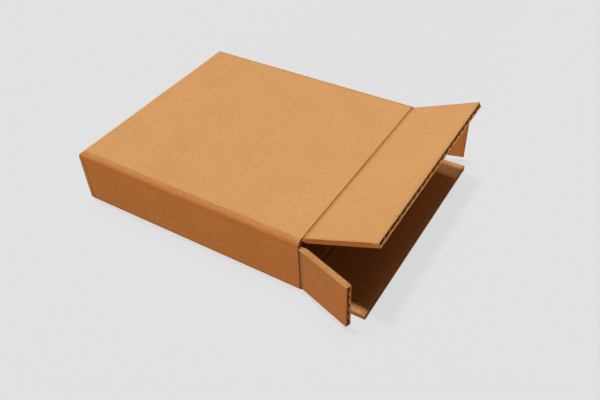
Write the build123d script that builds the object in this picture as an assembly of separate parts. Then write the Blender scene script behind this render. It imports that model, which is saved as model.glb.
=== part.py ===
from build123d import *

import math
import os

# Corrugated end-opening mailer box: a folded board sleeve, glued shut at one end, with four open flaps at the
# other. Frame: +X points out of the open end, the front side panel faces -Y, +Z is up, and the origin is the
# centre of the underside of the sleeve. Millimetres.

# Driving dimensions: the box, measured over the outside of the board
box_length = 200.0
box_width = 183.0
box_height = 48.5
board = 4.0
fold_inner_radius = 0.5

# Driving dimensions: the four flaps at the open end, measured from their creases
top_flap_length = 59.0
base_flap_length = 50.0
side_flap_length = 46.0
top_flap_slot = 0.5
base_flap_inset = 0.6
side_flap_slot = 0.45
relief_length = 16.5
relief_slot = 1.0

# Rest angles, in degrees outward from the panel that carries the flap
top_flap_angle = 22.5
base_flap_angle = 0.0
front_flap_angle = 18.0
rear_flap_angle = 16.0

# Corrugation: C flute between two liners, open where the board is cut across the flutes
flute_pitch = 7.9
liner = 0.5
medium = 0.4
flute_depth = 9.0
flute_wide_share = 0.72
flute_narrow_share = 0.16

# Creases, seams and the glued end
crease_gap = 0.4
crease_side_gap = 0.25
long_flap_mitre = 20.0
side_flap_mitre = 45.0
end_flap_slot = 1.0
end_side_flap_length = 46.0
seam_width = 0.6
seam_depth = 0.9
seam_clear_of_fold = 0.4

# Manufacturer's joint: the tab glued inside the rear panel
tab_width = 28.0
tab_thickness = 3.0
tab_end_gap = 14.0
tab_taper = 8.0

half_board = board / 2
half_gap = crease_gap / 2
crease_x = box_length / 2
mouth_x = crease_x - half_gap
closed_x = -box_length / 2
fold_radius = board + fold_inner_radius
inner_width = box_width - 2 * board
inner_height = box_height - 2 * board
flat_width = inner_width - 2 * fold_inner_radius
flat_height = inner_height - 2 * fold_inner_radius

# Widths of the flaps at their creases, inside the flat part of the panel between two folds
top_flap_width = flat_width - 2 * top_flap_slot
base_root_width = flat_width - 2 * relief_slot
side_flap_height = flat_height - 2 * side_flap_slot


def box_between(low, high):
    """Box from its lowest to its highest corner."""
    size = [high[i] - low[i] for i in range(3)]
    middle = [(high[i] + low[i]) / 2 for i in range(3)]
    return Pos(*middle) * Box(*size)


def prism_along_x(section, start, end):
    """Section drawn in Y and Z, with Y across and Z up, extruded from start to end along X."""
    return extrude(Plane.YZ.offset(start) * section, end - start)


def crease_frame(place, turn):
    """Frame of a crease on the outer face: X out of the panel, Y along the crease, Z to the panel's outside."""
    return Pos(*place) * Rot(turn, 0, 0)


top_crease = crease_frame((crease_x, 0, box_height), 0)
base_crease = crease_frame((crease_x, 0, 0), 180)
front_crease = crease_frame((crease_x, -box_width / 2, box_height / 2), 90)
rear_crease = crease_frame((crease_x, box_width / 2, box_height / 2), -90)


def flute_mouths(length, width):
    """Open flute channels at the cut edge of a plate: wide at one liner, narrow at the other, alternating."""
    crest = half_board - liner
    wide = flute_wide_share * flute_pitch / 2
    narrow = flute_narrow_share * flute_pitch / 2
    steps = int((width / 2 - wide - medium) / (flute_pitch / 2))
    channels = []
    for step in range(-steps, steps + 1):
        centre = step * flute_pitch / 2
        side = 1 if step % 2 == 0 else -1
        outline = Polyline(
            (centre - wide, side * crest - half_board),
            (centre - narrow, side * (medium - crest) - half_board),
            (centre + narrow, side * (medium - crest) - half_board),
            (centre + wide, side * crest - half_board),
            close=True,
        )
        channels.append(prism_along_x(make_face(outline), length - flute_depth, length))
    return channels


def mitred_plate(length, width, mitre):
    """Flap in its crease's frame, folded straight, with its root cut back at the inner face so it can close."""
    cut_back = board * math.tan(math.radians(mitre))
    outline = Polyline(
        (half_gap, 0),
        (length, 0),
        (length, -board),
        (half_gap + cut_back, -board),
        close=True,
    )
    plate = extrude(Plane.XZ * make_face(outline), width / 2, both=True)
    return plate - flute_mouths(length, width)


def opened(crease, angle, plate):
    """Flap in place, turned outward about its crease from straight."""
    return crease * Rot(0, -angle, 0) * plate


def top_flap():
    """Flap of the top panel, tilted up."""
    return opened(top_crease, top_flap_angle, mitred_plate(top_flap_length, top_flap_width, long_flap_mitre))


def base_flap():
    """Flap of the base panel, with its root corners cut back so that the side flaps swing past it."""
    width = box_width - 2 * base_flap_inset
    plate = mitred_plate(base_flap_length, width, long_flap_mitre)
    for side in (-1, 1):
        low, high = sorted((side * width / 2, side * base_root_width / 2))
        plate -= box_between((0, low, -board), (relief_length, high, 0))
    return opened(base_crease, base_flap_angle, plate)


def side_flap(crease, angle):
    """Flap of a side panel, swung outward about its upright crease."""
    return opened(crease, angle, mitred_plate(side_flap_length, side_flap_height, side_flap_mitre))


def panel_mitre(crease, root_width, mitre):
    """What is cut from the end of a panel so that its flap can close: the mirror image of the flap's root."""
    cut_back = board * math.tan(math.radians(mitre))
    outline = Polyline(
        (-half_gap, 0),
        (0, 0),
        (0, -board),
        (-half_gap - cut_back, -board),
        close=True,
    )
    return crease * extrude(Plane.XZ * make_face(outline), root_width / 2 + crease_side_gap, both=True)


def sleeve():
    """Four panels folded into a sleeve, closed by the outer end flap that folds down from the top panel."""
    middle = Pos(0, box_height / 2)
    outline = middle * RectangleRounded(box_width, box_height, fold_radius)
    outside = prism_along_x(outline, closed_x, mouth_x)
    inner_outline = middle * RectangleRounded(inner_width, inner_height, fold_inner_radius)
    hollow = prism_along_x(inner_outline, closed_x + board, mouth_x)
    shell = outside - hollow
    mitres = [
        panel_mitre(top_crease, top_flap_width, long_flap_mitre),
        panel_mitre(base_crease, base_root_width, long_flap_mitre),
        panel_mitre(front_crease, side_flap_height, side_flap_mitre),
        panel_mitre(rear_crease, side_flap_height, side_flap_mitre),
    ]
    return (shell - mitres) & end_fold_profile()


def end_fold_profile():
    """Side view of the whole sleeve, with the rounded fold between the top panel and the outer end flap."""
    outline = Pos(0, box_height / 2) * Rectangle(box_length, box_height)
    outline = fillet(outline.vertices().sort_by(Axis.X)[:2].sort_by(Axis.Y)[-1], fold_radius)
    return extrude(Plane.XZ * outline, box_width, both=True)


def end_layers():
    """Inner layers of the glued end: the base end flap, and the two side end flaps on its inside."""
    start = closed_x + board
    half_width = inner_width / 2
    base_top = box_height - board - end_flap_slot
    layers = [box_between((start, -half_width, board), (start + board, half_width, base_top))]
    for side in (-1, 1):
        reach = half_width - end_side_flap_length
        low, high = sorted((side * reach, side * half_width))
        layers.append(
            box_between(
                (start + board, low, board + end_flap_slot),
                (start + 2 * board, high, base_top),
            )
        )
    return layers


def glue_tab():
    """Tapered tab of the manufacturer's joint, glued inside the rear panel along the base fold."""
    start = closed_x + 3 * board + tab_end_gap
    end = mouth_x - tab_end_gap
    outline = Polyline(
        (start, board),
        (end, board),
        (end - tab_taper, board + tab_width),
        (start + tab_taper, board + tab_width),
        close=True,
    )
    rear_face = inner_width / 2
    return extrude(Plane.XZ.offset(-rear_face) * make_face(outline), tab_thickness)


def end_seams():
    """Fine grooves where the outer end flap lies against the ends of the side panels and the base."""
    low_x = closed_x + board - seam_width / 2
    high_x = low_x + seam_width
    top = box_height - fold_radius - seam_clear_of_fold
    grooves = []
    for side in (-1, 1):
        low, high = sorted((side * box_width / 2, side * (box_width / 2 - seam_depth)))
        grooves.append(box_between((low_x, low, 0), (high_x, high, top)))
    half = box_width / 2
    grooves.append(box_between((low_x, -half, 0), (high_x, half, seam_depth)))
    return grooves


def box_sleeve():
    """The folded and glued body of the box, one piece of board."""
    return sleeve() + end_layers() + glue_tab() - end_seams()


def main():
    pieces = {
        "box_sleeve": box_sleeve(),
        "top_flap": top_flap(),
        "base_flap": base_flap(),
        "front_side_flap": side_flap(front_crease, front_flap_angle),
        "rear_side_flap": side_flap(rear_crease, rear_flap_angle),
    }
    os.makedirs("parts", exist_ok=True)
    for name, piece in pieces.items():
        export_step(piece, os.path.join("parts", name + ".step"))


main()
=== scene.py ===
import math
from typing import NamedTuple

import bpy
from mathutils import Matrix, Vector


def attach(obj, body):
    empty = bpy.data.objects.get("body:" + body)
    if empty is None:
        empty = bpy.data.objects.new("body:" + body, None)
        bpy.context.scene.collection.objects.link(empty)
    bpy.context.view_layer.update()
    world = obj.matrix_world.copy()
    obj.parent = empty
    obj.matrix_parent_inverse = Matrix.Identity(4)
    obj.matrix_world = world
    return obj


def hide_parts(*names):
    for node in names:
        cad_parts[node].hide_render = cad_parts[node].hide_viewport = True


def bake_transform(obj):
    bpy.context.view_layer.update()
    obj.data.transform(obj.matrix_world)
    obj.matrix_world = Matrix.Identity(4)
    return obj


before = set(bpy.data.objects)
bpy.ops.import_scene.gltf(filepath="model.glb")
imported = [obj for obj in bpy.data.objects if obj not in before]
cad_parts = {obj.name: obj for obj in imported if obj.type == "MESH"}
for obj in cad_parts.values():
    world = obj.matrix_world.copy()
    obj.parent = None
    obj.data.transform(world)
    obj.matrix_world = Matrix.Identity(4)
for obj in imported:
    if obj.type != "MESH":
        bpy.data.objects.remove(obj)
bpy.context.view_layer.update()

# Looks of the corrugated mailer box: the CAD sleeve gets a kraft board material, each flap is rebuilt from
# liners and a fluted medium, and a strip of liner crosses each crease. Metres, in the CAD model's frame.

# Sizes repeated from the CAD source
BOARD = 0.004
HALF = BOARD / 2
CREASE_X = 0.100
HALF_GAP = 0.0002
BOX_WIDTH = 0.183
BOX_HEIGHT = 0.0485
PITCH = 0.0079
LONG_MITRE = 20.0
SIDE_MITRE = 45.0

# Finer sizes of a flap's board: its papers, how far they lie inside the CAD faces, and its cut edges
LINER = 0.0004
MEDIUM = 0.0003
SKIN = 0.00005
RIPPLE = 0.00004
ROOT_FLAT = 0.006
NOTCH_STEP = 0.00002
NOTCH_CLEAR = 0.0002
EDGE_RECESS = 0.00015
EDGE_DENT = 0.0003
EDGE_WEB = 0.0003
EDGE_LAP_SHARE = 0.03

# The strip of liner across a crease: its lap onto panel and flap, where it lies, the pull of its bend, and
# the rows of its bend that carry painted shade
CREASE_LAP = 0.004
CREASE_LIFT = 0.00003
CREASE_SINK = 0.00002
CREASE_SHEET = 0.00025
CREASE_INSET = 0.0002
CREASE_COLUMN = 0.004
CREASE_PULL = 0.28
CREASE_SHADE_ROWS = (5, 7)

# Counts of points
FACE_POINTS = 10
ROOT_POINTS = 5
EDGE_POINTS = 3
BEND_POINTS = 9
LINER_POINTS_PER_FLUTE = 6
MEDIUM_POINTS_PER_FLUTE = 12

# Where the band of painted shade round the long folds begins and is full, across and upward from the sleeve's
# middle
FOLD_ACROSS = (0.0868, 0.0876)
FOLD_UPWARD = (0.0194, 0.0202)
FOLD_SHADE_SHARE = 0.9
RUBBED_SHARE = 0.40

# Noise scales along X, Y and Z, per metre. The shift keeps flat faces off the planes where noise is weakest,
# so that every face has the same grain.
BLOTCHES = (26.0, 26.0, 26.0)
FIBRES = (220.0, 1500.0, 1500.0)
CROSS_FIBRES = (1500.0, 420.0, 420.0)
SPECKS = (520.0, 900.0, 900.0)
RUBBED_SPOTS = (160.0, 700.0, 700.0)
EDGE_FIBRES = (900.0, 1300.0, 2600.0)
EDGE_BLOTCHES = (120.0, 120.0, 120.0)
NOISE_SHIFT = (0.31, 0.75, 0.80)

# Colours of the board
KRAFT = (0.690, 0.356, 0.131)
KRAFT_DEEP = (0.585, 0.286, 0.097)
KRAFT_PALE = (0.800, 0.460, 0.200)
DARK_SPECK = (0.22, 0.095, 0.032)
PALE_SPECK = (0.90, 0.60, 0.32)
# Painted shade on the long folds' rounded band
FOLD_PAINTED_SHADE = (0.535, 0.222, 0.066, 1.0)
FOLD_RUBBED = (0.78, 0.46, 0.21, 1.0)
EDGE_DEEP = (0.50, 0.235, 0.078, 1.0)
EDGE_PALE = (0.66, 0.36, 0.15, 1.0)
EDGE_BLOTCH = (0.36, 0.16, 0.05, 1.0)
# Darkening of the crease strips' middle rows: painted shade
CREASE_SHADE_TINT = 0.42

# Floor, backdrop and light
PALE_GREY = (0.762, 0.764, 0.767, 1.0)
FLOOR_LIT = (0.74, 0.74, 0.74, 1.0)
FLOOR_LIT_SHARE = 0.12
FLOOR_BOUNCE = (0.20, 0.185, 0.17, 1.0)
FLOOR_HALF_SIZE = 6.0
FLOOR_DROP = 0.0002
WORLD_LIGHT = (1.0, 0.78, 0.66, 1.0)
WORLD_STRENGTH = 0.045
SENSOR_MM = 36.0
FRAME_WIDTH_PX = 600.0

# Name, direction that the light comes from, strength, colour, and angle across in degrees
SUNS = (
    ("key", (-0.17, 0.0, 0.98), 2.31, (1.0, 1.0, 0.99), 6.0),
    ("rear_key", (-0.10, 0.24, 0.96), 0.56, (1.0, 1.0, 0.99), 6.0),
    ("front_fill", (0.14, -0.98, 0.03), 1.92, (1.0, 0.57, 0.32), 14.0),
    ("back_fill", (-0.45, 0.89, 0.02), 0.95, (1.0, 0.62, 0.38), 14.0),
)

scene = bpy.context.scene
scene.view_settings.view_transform = "Standard"


def new_object(name, points, faces, material, smooth=True):
    """Mesh object from points and faces, with one material."""
    mesh = bpy.data.meshes.new(name)
    mesh.from_pydata([tuple(p) for p in points], [], faces)
    mesh.validate()
    mesh.update()
    for polygon in mesh.polygons:
        polygon.use_smooth = smooth
    mesh.materials.append(material)
    obj = bpy.data.objects.new(name, mesh)
    scene.collection.objects.link(obj)
    return obj


def grid_faces(rows, columns, start, flip=False):
    """Quads of a grid of points listed row by row."""
    faces = []
    for i in range(rows - 1):
        for j in range(columns - 1):
            a = start + i * columns + j
            quad = (a, a + 1, a + columns + 1, a + columns)
            faces.append(quad[::-1] if flip else quad)
    return faces


def closed_sheet(rows, columns, start):
    """Faces of a thin closed sheet between two grids of points, the second listed after the first.

    The first grid faces along the step from row to row crossed with the step from column to column, and the
    second faces the other way.
    """
    second = start + rows * columns
    rim = list(range(columns))
    rim += [i * columns + columns - 1 for i in range(1, rows)]
    rim += [(rows - 1) * columns + j for j in reversed(range(columns - 1))]
    rim += [i * columns for i in reversed(range(1, rows - 1))]
    faces = grid_faces(rows, columns, start, True) + grid_faces(rows, columns, second)
    for a, b in zip(rim, rim[1:] + rim[:1]):
        faces.append((start + a, start + b, second + b, second + a))
    return faces


def steps(low, high, count):
    """Evenly spaced values from low to high."""
    return [low + (high - low) * i / (count - 1) for i in range(count)]


def heading(path, index):
    """Direction of a path of flat points at one of them."""
    before = Vector(path[max(index - 1, 0)])
    after = Vector(path[min(index + 1, len(path) - 1)])
    return (after - before).normalized()


def bezier(a, b, c, count):
    """Points on the curve from a to c that b pulls."""
    found = []
    for t in steps(0.0, 1.0, count):
        found.append(a * (1 - t) ** 2 + b * (2 * t * (1 - t)) + c * t ** 2)
    return found


class Nodes:
    """Short calls for building the node tree of one material or world."""

    def __init__(self, owner):
        owner.use_nodes = True
        self.owner = owner
        self.tree = owner.node_tree
        self.tree.nodes.clear()

    def add(self, kind, inputs=None, **settings):
        node = self.tree.nodes.new(kind)
        for key, value in settings.items():
            setattr(node, key, value)
        for key, value in (inputs or {}).items():
            socket = node.inputs[key]
            if isinstance(value, bpy.types.NodeSocket):
                self.tree.links.new(value, socket)
            else:
                socket.default_value = value
        return node

    def math(self, operation, a, b=0.0, clamp=False):
        node = self.add("ShaderNodeMath", {0: a, 1: b}, operation=operation, use_clamp=clamp)
        return node.outputs[0]

    def ramp(self, value, low, high, to_low=0.0, to_high=1.0):
        node = self.add(
            "ShaderNodeMapRange",
            {"Value": value, "From Min": low, "From Max": high, "To Min": to_low, "To Max": to_high},
            clamp=True,
        )
        return node.outputs[0]

    def mix(self, factor, a, b):
        """Colour mix: 0, 6 and 7 are the factor and the two colours, and 2 is the mixed colour."""
        return self.add("ShaderNodeMix", {0: factor, 6: a, 7: b}, data_type="RGBA").outputs[2]

    def noise(self, place, scale, detail, roughness=0.55):
        """Noise with its own scale along each axis."""
        spot = self.add("ShaderNodeMapping", {"Vector": place, "Scale": scale, "Location": NOISE_SHIFT})
        node = self.add(
            "ShaderNodeTexNoise",
            {"Vector": spot.outputs[0], "Scale": 1.0, "Detail": detail, "Roughness": roughness},
        )
        return node.outputs[0]

    def seen(self):
        """1 for a ray that shows the background, straight, mirrored or through glass, and otherwise 0."""
        rays = self.add("ShaderNodeLightPath").outputs
        total = self.math("ADD", rays["Is Camera Ray"], rays["Is Glossy Ray"], True)
        return self.math("ADD", total, rays["Is Transmission Ray"], True)

    def paper(self, colour, roughness, specular, height, strength):
        """Finish the material as matt paper whose bump follows the height."""
        bump = self.add("ShaderNodeBump", {"Height": height, "Strength": strength, "Distance": 1.0})
        shader = self.add(
            "ShaderNodeBsdfPrincipled",
            {
                "Base Color": colour,
                "Roughness": roughness,
                "Specular IOR Level": specular,
                "Normal": bump.outputs[0],
            },
        )
        self.add("ShaderNodeOutputMaterial", {"Surface": shader.outputs[0]})
        return self.owner


def fold_shade_and_wear(n, place, xyz, colour):
    """Painted shade: a deeper coloured band round the sleeve's four long folds, with the paper rubbed pale
    here and there.
    """
    near_side = n.ramp(n.math("ABSOLUTE", xyz["Y"]), *FOLD_ACROSS)
    off_middle = n.math("ABSOLUTE", n.math("SUBTRACT", xyz["Z"], BOX_HEIGHT / 2))
    near_face = n.ramp(off_middle, *FOLD_UPWARD)
    on_fold = n.math("MULTIPLY", near_side, near_face)
    rubbed = n.ramp(n.noise(place, RUBBED_SPOTS, 4.0, 0.65), 0.50, 0.72)
    # Painted shade: the band round each long fold is mixed toward a deeper colour
    colour = n.mix(n.math("MULTIPLY", on_fold, FOLD_SHADE_SHARE), colour, FOLD_PAINTED_SHADE)
    rubbed_fold = n.math("MULTIPLY", on_fold, rubbed)
    return n.mix(n.math("MULTIPLY", rubbed_fold, RUBBED_SHARE), colour, FOLD_RUBBED)


def kraft_board(name, tint=1.0, folds=False):
    """Brown kraft liner: fibres along the flutes, specks, soft blotches and the flutes' faint ridges."""
    n = Nodes(bpy.data.materials.new(name))
    where = n.add("ShaderNodeTexCoord").outputs
    place = where["Object"]
    normal = n.add("ShaderNodeSeparateXYZ", {0: where["Normal"]}).outputs
    xyz = n.add("ShaderNodeSeparateXYZ", {0: place}).outputs

    blotch = n.noise(place, BLOTCHES, 3.0)
    fibre = n.noise(place, FIBRES, 4.0, 0.65)
    cross_fibre = n.noise(place, CROSS_FIBRES, 3.0, 0.6)
    speck = n.noise(place, SPECKS, 2.0, 0.5)

    def tinted(colour):
        return tuple(part * tint for part in colour) + (1.0,)

    deep = tinted(KRAFT_DEEP)
    colour = n.mix(n.ramp(blotch, 0.36, 0.66, 0.0, 0.34), tinted(KRAFT), deep)
    colour = n.mix(n.ramp(fibre, 0.45, 0.72, 0.0, 0.42), colour, deep)
    colour = n.mix(n.ramp(cross_fibre, 0.55, 0.78, 0.0, 0.30), colour, tinted(KRAFT_PALE))
    colour = n.mix(n.ramp(speck, 0.665, 0.72, 0.0, 0.55), colour, tinted(DARK_SPECK))
    colour = n.mix(n.ramp(speck, 0.33, 0.285, 0.0, 0.45), colour, tinted(PALE_SPECK))

    side = n.math("ABSOLUTE", normal["Y"])
    flat = n.math("SUBTRACT", 1.0, side)
    across = n.math("ADD", n.math("MULTIPLY", xyz["Y"], flat), n.math("MULTIPLY", xyz["Z"], side))
    ridge = n.math("SINE", n.math("MULTIPLY", across, 2 * math.pi / PITCH))
    colour = n.mix(n.ramp(ridge, -1.0, 1.0, 0.0, 0.085), colour, deep)
    # Painted shade round the long folds, with pale rubbed wear
    if folds:
        colour = fold_shade_and_wear(n, place, xyz, colour)

    height = 0.0
    for grain, depth in ((ridge, 0.00004), (fibre, 0.00003), (cross_fibre, 0.00002), (blotch, 0.00025)):
        height = n.math("ADD", n.math("MULTIPLY", grain, depth), height)
    roughness = n.ramp(fibre, 0.3, 0.7, 0.78, 0.93)
    return n.paper(colour, roughness, specular=0.22, height=height, strength=0.55)


def cut_edge_board(name):
    """Raw cut edge and fluted medium: a little darker and rougher than the liner."""
    n = Nodes(bpy.data.materials.new(name))
    place = n.add("ShaderNodeTexCoord").outputs["Object"]
    fibre = n.noise(place, EDGE_FIBRES, 4.0, 0.7)
    blotch = n.noise(place, EDGE_BLOTCHES, 2.0)
    colour = n.mix(n.ramp(fibre, 0.35, 0.7), EDGE_DEEP, EDGE_PALE)
    colour = n.mix(n.ramp(blotch, 0.4, 0.7, 0.0, 0.4), colour, EDGE_BLOTCH)
    height = n.math("MULTIPLY", fibre, 0.00008)
    return n.paper(colour, 0.92, specular=0.15, height=height, strength=0.7)


LINER_BOARD = kraft_board("kraft_liner")
SLEEVE_BOARD = kraft_board("kraft_sleeve", folds=True)
# Darker copy of the kraft for painted shade in the creases
CREASE_SHADE_BOARD = kraft_board("kraft_crease_painted_shade", tint=CREASE_SHADE_TINT)
MEDIUM_BOARD = cut_edge_board("fluted_medium")


class Flap(NamedTuple):
    """One open flap. Its angle is outward from straight, and its notch is 0 long where it has none."""

    node: str
    crease: Matrix
    angle: float
    length: float
    width: float
    root_width: float
    notch: float
    mitre: float

    def cut_back(self):
        """How far from the crease the mitred root starts on the inner face."""
        return HALF_GAP + BOARD * math.tan(math.radians(self.mitre))


def flap_path(flap):
    """Section of a flap's liner: in along the inner face, up the mitred root, out along the outer face."""
    along = steps(flap.length, ROOT_FLAT, FACE_POINTS)
    if flap.notch:
        along += [flap.notch + NOTCH_STEP, flap.notch - NOTCH_STEP]
        along = sorted(along, reverse=True)
    inner_root = flap.cut_back()
    lower = [(x, -BOARD) for x in along]
    root = []
    for share in steps(0.0, 1.0, ROOT_POINTS):
        root.append((inner_root + (HALF_GAP - inner_root) * share, BOARD * (share - 1.0)))
    upper = [(x, 0.0) for x in reversed(along)]
    return lower + root + upper


def liner_points(flap, path):
    """Outer and then inner points of the liner that folds along the path, with the flutes' faint ripple."""
    columns = int(round(flap.width / PITCH * LINER_POINTS_PER_FLUTE)) + 1
    points = []
    for depth, ripple in ((SKIN, RIPPLE), (LINER, 0.0)):
        for index, (x, z) in enumerate(path):
            along = heading(path, index)
            reach = (flap.root_width if x < flap.notch else flap.width) / 2
            for y in steps(-reach, reach, columns):
                wave = ripple * math.sin(2 * math.pi * y / PITCH) if x > ROOT_FLAT else 0.0
                points.append(Vector((x + along.y * (depth + wave), y, z - along.x * (depth + wave))))
    return points, columns


def edge_web_points(lower, upper, side):
    """Both faces of the recessed board along one side edge, between two rows of liner points."""
    layers = []
    for depth in (EDGE_RECESS, EDGE_RECESS + EDGE_WEB):
        layer = []
        for low, high in zip(lower, upper):
            lap = (high - low) * EDGE_LAP_SHARE
            for spot, dent in ((low - lap, 0.0), ((low + high) / 2, EDGE_DENT), (high + lap, 0.0)):
                layer.append(spot - Vector((0, side * (depth + dent), 0)))
        layers.append(layer)
    return layers[0] + layers[1] if side > 0 else layers[1] + layers[0]


def medium_points(flap, rows):
    """Upper and then lower points of the fluted medium: a sine wave across the flap."""
    crest = HALF - LINER - MEDIUM / 2
    columns = int(round(flap.width / PITCH * MEDIUM_POINTS_PER_FLUTE)) + 1
    end = flap.width / 2 - EDGE_RECESS - EDGE_DENT - EDGE_WEB
    points = []
    for lift in (MEDIUM / 2, -MEDIUM / 2):
        for x in rows:
            for y in steps(-end, end, columns):
                turn = 2 * math.pi * y / PITCH
                slope = crest * 2 * math.pi / PITCH * math.cos(turn)
                shift = lift / math.hypot(1.0, slope)
                points.append(Vector((x, y - shift * slope, crest * math.sin(turn) + shift - HALF)))
    return points, columns


def make_flap(flap):
    """Corrugated flap that stands for its CAD node: a liner folded round both faces, and the medium inside.

    It lies along +X from its crease, which is on its outer face, and is then turned to its place at rest.
    """
    path = flap_path(flap)
    count = len(path)
    points, columns = liner_points(flap, path)
    faces = closed_sheet(count, columns, 0)
    liner_faces = len(faces)

    inner = [points[(count + row) * columns:(count + row + 1) * columns] for row in range(count)]
    web_rows = count // 2 - 1
    for side, column in ((-1, 0), (1, columns - 1)):
        lower = [inner[row][column] for row in range(web_rows)]
        upper = [inner[count - 1 - row][column] for row in range(web_rows)]
        faces += closed_sheet(web_rows, EDGE_POINTS, len(points))
        points += edge_web_points(lower, upper, side)

    near = max(ROOT_FLAT, flap.notch + NOTCH_CLEAR)
    rows = (near, (near + flap.length) / 2, flap.length - EDGE_RECESS)
    flutes, waves = medium_points(flap, rows)
    faces += closed_sheet(len(rows), waves, len(points))
    points += flutes

    obj = new_object(flap.node + "_board", points, faces, LINER_BOARD)
    obj.data.materials.append(MEDIUM_BOARD)
    for polygon in obj.data.polygons:
        if polygon.index >= liner_faces:
            polygon.material_index = 1
    obj.matrix_world = flap.crease @ Matrix.Rotation(-math.radians(flap.angle), 4, "Y")
    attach(obj, flap.node + "_body")
    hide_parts(flap.node)


def make_crease(flap):
    """Inner liner that runs on from the sleeve's panel into a flap, bent round the hinge between them as the
    flap stands at rest.
    """
    turn = math.radians(flap.angle)
    cut_back = flap.cut_back()

    def on_flap(s):
        out = s * math.cos(turn) + BOARD * math.sin(turn)
        up = s * math.sin(turn) - BOARD * math.cos(turn)
        return Vector((out, up))

    panel_edge = Vector((-cut_back, -BOARD))
    flap_edge = on_flap(cut_back)
    pull = (panel_edge + flap_edge) * CREASE_PULL
    line = [Vector((-cut_back - lap, -BOARD)) for lap in (CREASE_LAP, CREASE_LAP / 2)]
    line += bezier(panel_edge, pull, flap_edge, BEND_POINTS)
    line += [on_flap(cut_back + lap) for lap in (CREASE_LAP / 2, CREASE_LAP)]

    rows = len(line)
    half_width = flap.root_width / 2 - CREASE_INSET
    columns = int(half_width * 2 / CREASE_COLUMN) + 2
    shown_face = [-CREASE_LIFT] * rows
    shown_face[0] = shown_face[-1] = CREASE_SINK
    points = []
    for depths in ([CREASE_SHEET] * rows, shown_face):
        for index, spot in enumerate(line):
            along = heading(line, index)
            x = spot.x - along.y * depths[index]
            z = spot.y + along.x * depths[index]
            points += [flap.crease @ Vector((x, y, z)) for y in steps(-half_width, half_width, columns)]

    obj = new_object(flap.node + "_crease", points, closed_sheet(rows, columns, 0), LINER_BOARD)
    # Painted shade: the middle rows of the bend get the darker copy of the kraft
    obj.data.materials.append(CREASE_SHADE_BOARD)
    first, last = ((rows - 1 + row) * (columns - 1) for row in CREASE_SHADE_ROWS)
    for index in range(first, last):
        obj.data.polygons[index].material_index = 1
    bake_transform(obj)


def crease_frame(y, z, turn):
    """Frame of a crease on the outer face: X out of the panel, Y along the crease, Z to the outside."""
    return Matrix.Translation((CREASE_X, y, z)) @ Matrix.Rotation(math.radians(turn), 4, "X")


TOP_CREASE = crease_frame(0.0, BOX_HEIGHT, 0.0)
BASE_CREASE = crease_frame(0.0, 0.0, 180.0)
FRONT_CREASE = crease_frame(-BOX_WIDTH / 2, BOX_HEIGHT / 2, 90.0)
REAR_CREASE = crease_frame(BOX_WIDTH / 2, BOX_HEIGHT / 2, -90.0)

# Angle at rest, length, width, width at the root, length of the root notches, and mitre
FLAPS = (
    Flap("top_flap", TOP_CREASE, 22.5, 0.059, 0.1730, 0.1730, 0.0, LONG_MITRE),
    Flap("base_flap", BASE_CREASE, 0.0, 0.050, 0.1818, 0.1720, 0.0165, LONG_MITRE),
    Flap("front_side_flap", FRONT_CREASE, 18.0, 0.046, 0.0386, 0.0386, 0.0, SIDE_MITRE),
    Flap("rear_side_flap", REAR_CREASE, 16.0, 0.046, 0.0386, 0.0386, 0.0, SIDE_MITRE),
)
for each_flap in FLAPS:
    make_flap(each_flap)
    make_crease(each_flap)

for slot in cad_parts["box_sleeve"].material_slots:
    slot.material = SLEEVE_BOARD


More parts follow.
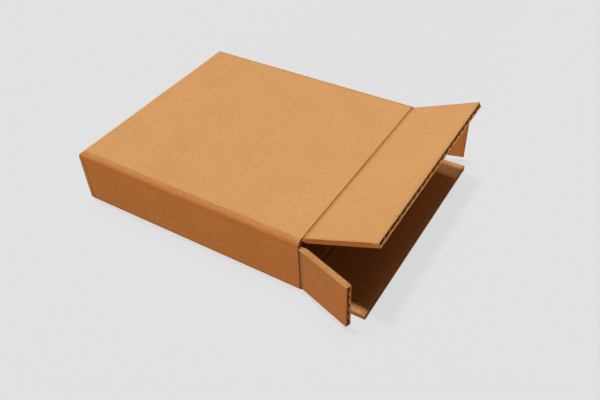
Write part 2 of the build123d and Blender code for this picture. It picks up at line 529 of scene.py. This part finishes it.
def make_floor():
    """Pale floor that keeps a faint shadow of the box."""
    n = Nodes(bpy.data.materials.new("pale_floor"))
    flat = n.add("ShaderNodeEmission", {"Color": PALE_GREY, "Strength": 1.0})
    lit = n.add("ShaderNodeBsdfDiffuse", {"Color": FLOOR_LIT})
    shown = n.add("ShaderNodeMixShader", {0: FLOOR_LIT_SHARE, 1: flat.outputs[0], 2: lit.outputs[0]})
    bounce = n.add("ShaderNodeBsdfDiffuse", {"Color": FLOOR_BOUNCE})
    surface = n.add("ShaderNodeMixShader", {0: n.seen(), 1: bounce.outputs[0], 2: shown.outputs[0]})
    n.add("ShaderNodeOutputMaterial", {"Surface": surface.outputs[0]})
    far = FLOOR_HALF_SIZE
    corners = [(-far, -far, 0), (far, -far, 0), (far, far, 0), (-far, far, 0)]
    floor = new_object("floor", corners, [(0, 1, 2, 3)], n.owner, False)
    floor.location.z = -FLOOR_DROP


def make_world():
    """Weak even light all round, seen as the same pale grey as the floor."""
    n = Nodes(bpy.data.worlds.new("studio"))
    light = n.add("ShaderNodeBackground", {"Color": WORLD_LIGHT, "Strength": WORLD_STRENGTH})
    backdrop = n.add("ShaderNodeBackground", {"Color": PALE_GREY, "Strength": 1.0})
    either = n.add("ShaderNodeMixShader", {0: n.seen(), 1: light.outputs[0], 2: backdrop.outputs[0]})
    n.add("ShaderNodeOutputWorld", {"Surface": either.outputs[0]})
    scene.world = n.owner


def make_sun(name, source, strength, colour, spread):
    """Soft distant light that comes from the given direction."""
    light = bpy.data.lights.new(name, "SUN")
    light.energy = strength
    light.color = colour
    light.angle = math.radians(spread)
    obj = bpy.data.objects.new(name, light)
    obj.rotation_euler = Vector(source).to_track_quat("Z", "Y").to_euler()
    scene.collection.objects.link(obj)


def make_camera(focal_px, azimuth, elevation, roll, place):
    """Camera at the picture's viewing angle. Angles are in degrees, and the focal length in pixels."""
    az, el, turn = (math.radians(v) for v in (azimuth, elevation, roll))
    back = Vector((math.sin(az) * math.cos(el), -math.cos(az) * math.cos(el), math.sin(el)))
    level = Vector((0, 0, 1)).cross(back).normalized()
    upright = back.cross(level)
    right = level * math.cos(turn) + upright * math.sin(turn)
    up = upright * math.cos(turn) - level * math.sin(turn)
    data = bpy.data.cameras.new("camera")
    data.sensor_width = SENSOR_MM
    data.lens = SENSOR_MM * focal_px / FRAME_WIDTH_PX
    camera = bpy.data.objects.new("camera", data)
    camera.matrix_world = Matrix.Translation(place) @ Matrix((right, up, back)).transposed().to_4x4()
    scene.collection.objects.link(camera)
    scene.camera = camera


make_floor()
make_world()
for sun in SUNS:
    make_sun(*sun)
make_camera(
    focal_px=653.519,
    azimuth=33.1911,
    elevation=41.6025,
    roll=-2.6625,
    place=(0.26550, -0.33954, 0.35047),
)
